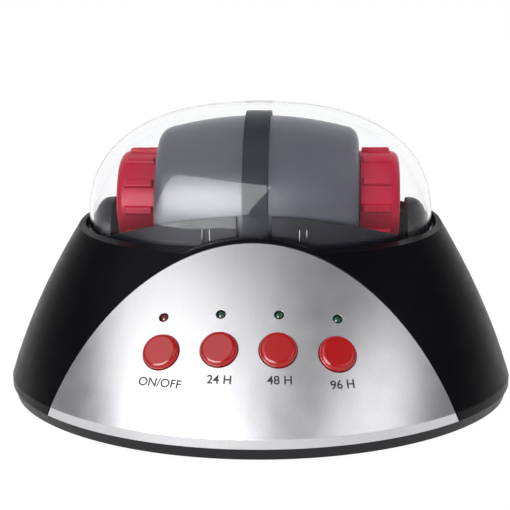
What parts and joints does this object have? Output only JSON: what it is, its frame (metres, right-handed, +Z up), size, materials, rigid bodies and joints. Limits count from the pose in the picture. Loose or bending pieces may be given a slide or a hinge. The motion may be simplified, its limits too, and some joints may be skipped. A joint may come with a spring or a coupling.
{
  "type": "rock tumbler",
  "caption": "Bench-top rock tumbler: a capped barrel turns on powered rollers in a well under a clear hinged dome, on a flared body with a silver panel of push buttons and lamps.",
  "frame": {"origin": "middle of the footprint, on the surface the feet stand on", "axes": "+X to the right along the barrel, +Y to the back, +Z up; the control panel faces -Y"},
  "size_m": [0.2822, 0.2236, 0.1637],
  "materials": {
    "dark_base": "satin",
    "black_body": "satin gloss",
    "black_fittings": "matte",
    "silver_panel": "silver paint",
    "board": "solder mask",
    "red_lamp": "clear dyed",
    "green_lamp": "clear dyed",
    "red_button": "satin",
    "red_cap": "satin",
    "barrel_grey": "satin",
    "clear_dome": "clear",
    "rubber": "matte",
    "steel": "bright",
    "bronze": "turned",
    "motor_case": "zinc",
    "gear_white": "moulded"
  },
  "bodies": {
    "base": {"base_tray": "dark_base", "rubber_feet": "rubber", "base_screws": "steel", "well_screws": "steel", "body_shell": "black_body", "inlet_jack": "black_fittings", "front_panel": "silver_panel", "control_board": "board", "board_screws": "steel", "touch_switches": "black_fittings", "power_lamp": "red_lamp", "timer_lamps": "green_lamp", "barrel_well": "black_body", "shaft_bushes": "bronze", "hinge_pins": "steel", "motor": "motor_case", "motor_bracket": "motor_case", "bracket_screws": "steel"},
    "dome": {"dome_cover": "clear_dome"},
    "latch": {"dome_latch": "clear_dome"},
    "barrel": {"barrel_shell": "barrel_grey", "barrel_band": "rubber"},
    "left_seal_ring": {"left_seal": "rubber"},
    "left_screw_cap": {"left_cap": "red_cap"},
    "right_seal_ring": {"right_seal": "rubber"},
    "right_screw_cap": {"right_cap": "red_cap"},
    "drive": {"drive_shaft": "steel", "drive_roller": "rubber", "drive_gear": "gear_white", "drive_shaft_clips": "steel"},
    "loose_wheels": {"front_wheels": "black_fittings"},
    "idler": {"idler_shaft": "steel", "idler_wheels": "black_fittings", "idler_shaft_clips": "steel"},
    "motor_rotor": {"motor_shaft": "steel", "motor_pinion": "gear_white"},
    "power_button_body": {"power_button": "red_button"},
    "one_day_button_body": {"one_day_button": "red_button"},
    "two_day_button_body": {"two_day_button": "red_button"},
    "four_day_button_body": {"four_day_button": "red_button"}
  },
  "joints": [
    {"name": "dome_hinge", "type": "hinge", "parent": "base", "child": "dome", "pos_m": [0, 0.08101, 0.1077], "axis": [-1, 0, 0], "range_deg": [0, 85]},
    {"name": "latch_press", "type": "hinge", "parent": "dome", "child": "latch", "pos_m": [0, -0.03209, 0.1073], "axis": [1, 0, 0], "range_deg": [0, 5], "stiffness_Nm_per_rad": 0.1, "springref_deg": -2.86},
    {"name": "barrel_spin", "type": "hinge", "parent": "base", "child": "barrel", "pos_m": [0, 0.02221, 0.1075], "axis": [1, 0, 0], "continuous": true},
    {"name": "drive_spin", "type": "hinge", "parent": "base", "child": "drive", "pos_m": [0, -0.009, 0.05556], "axis": [1, 0, 0], "continuous": true},
    {"name": "front_wheels_spin", "type": "hinge", "parent": "base", "child": "loose_wheels", "pos_m": [0, -0.009, 0.05556], "axis": [1, 0, 0], "continuous": true},
    {"name": "idler_spin", "type": "hinge", "parent": "base", "child": "idler", "pos_m": [0, 0.05342, 0.05556], "axis": [1, 0, 0], "continuous": true},
    {"name": "motor_spin", "type": "hinge", "parent": "base", "child": "motor_rotor", "pos_m": [0, 0, 0.0237], "axis": [1, 0, 0], "continuous": true},
    {"name": "left_cap_lift", "type": "slide", "parent": "barrel", "child": "left_seal_ring", "axis": [-1, 0, 0], "range_m": [0, 0.004]},
    {"name": "left_cap_turn", "type": "hinge", "parent": "left_seal_ring", "child": "left_screw_cap", "pos_m": [-0.07, 0.02221, 0.1075], "axis": [-1, 0, 0], "range_deg": [0, 360]},
    {"name": "right_cap_lift", "type": "slide", "parent": "barrel", "child": "right_seal_ring", "axis": [1, 0, 0], "range_m": [0, 0.004]},
    {"name": "right_cap_turn", "type": "hinge", "parent": "right_seal_ring", "child": "right_screw_cap", "pos_m": [0.07, 0.02221, 0.1075], "axis": [1, 0, 0], "range_deg": [0, 360]},
    {"name": "power_button_press", "type": "slide", "parent": "base", "child": "power_button_body", "axis": [0.1978, 0.7598, -0.6193], "range_m": [0, 0.0012], "stiffness_N_per_m": 400, "springref_m": -0.002},
    {"name": "one_day_button_press", "type": "slide", "parent": "base", "child": "one_day_button_body", "axis": [0.0552, 0.7603, -0.6472], "range_m": [0, 0.0012], "stiffness_N_per_m": 400, "springref_m": -0.002},
    {"name": "two_day_button_press", "type": "slide", "parent": "base", "child": "two_day_button_body", "axis": [-0.0552, 0.7603, -0.6472], "range_m": [0, 0.0012], "stiffness_N_per_m": 400, "springref_m": -0.002},
    {"name": "four_day_button_press", "type": "slide", "parent": "base", "child": "four_day_button_body", "axis": [-0.1978, 0.7598, -0.6193], "range_m": [0, 0.0012], "stiffness_N_per_m": 400, "springref_m": -0.002}
  ],
  "couplings": [
    {"joint": "drive_spin", "follows": "barrel_spin", "ratio": -5.7},
    {"joint": "front_wheels_spin", "follows": "barrel_spin", "ratio": -3.2593},
    {"joint": "idler_spin", "follows": "barrel_spin", "ratio": -3.2593},
    {"joint": "motor_spin", "follows": "barrel_spin", "ratio": 6.0563},
    {"joint": "left_cap_lift", "follows": "left_cap_turn", "m_per_rad": 0.000636},
    {"joint": "right_cap_lift", "follows": "right_cap_turn", "m_per_rad": 0.000636}
  ]
}
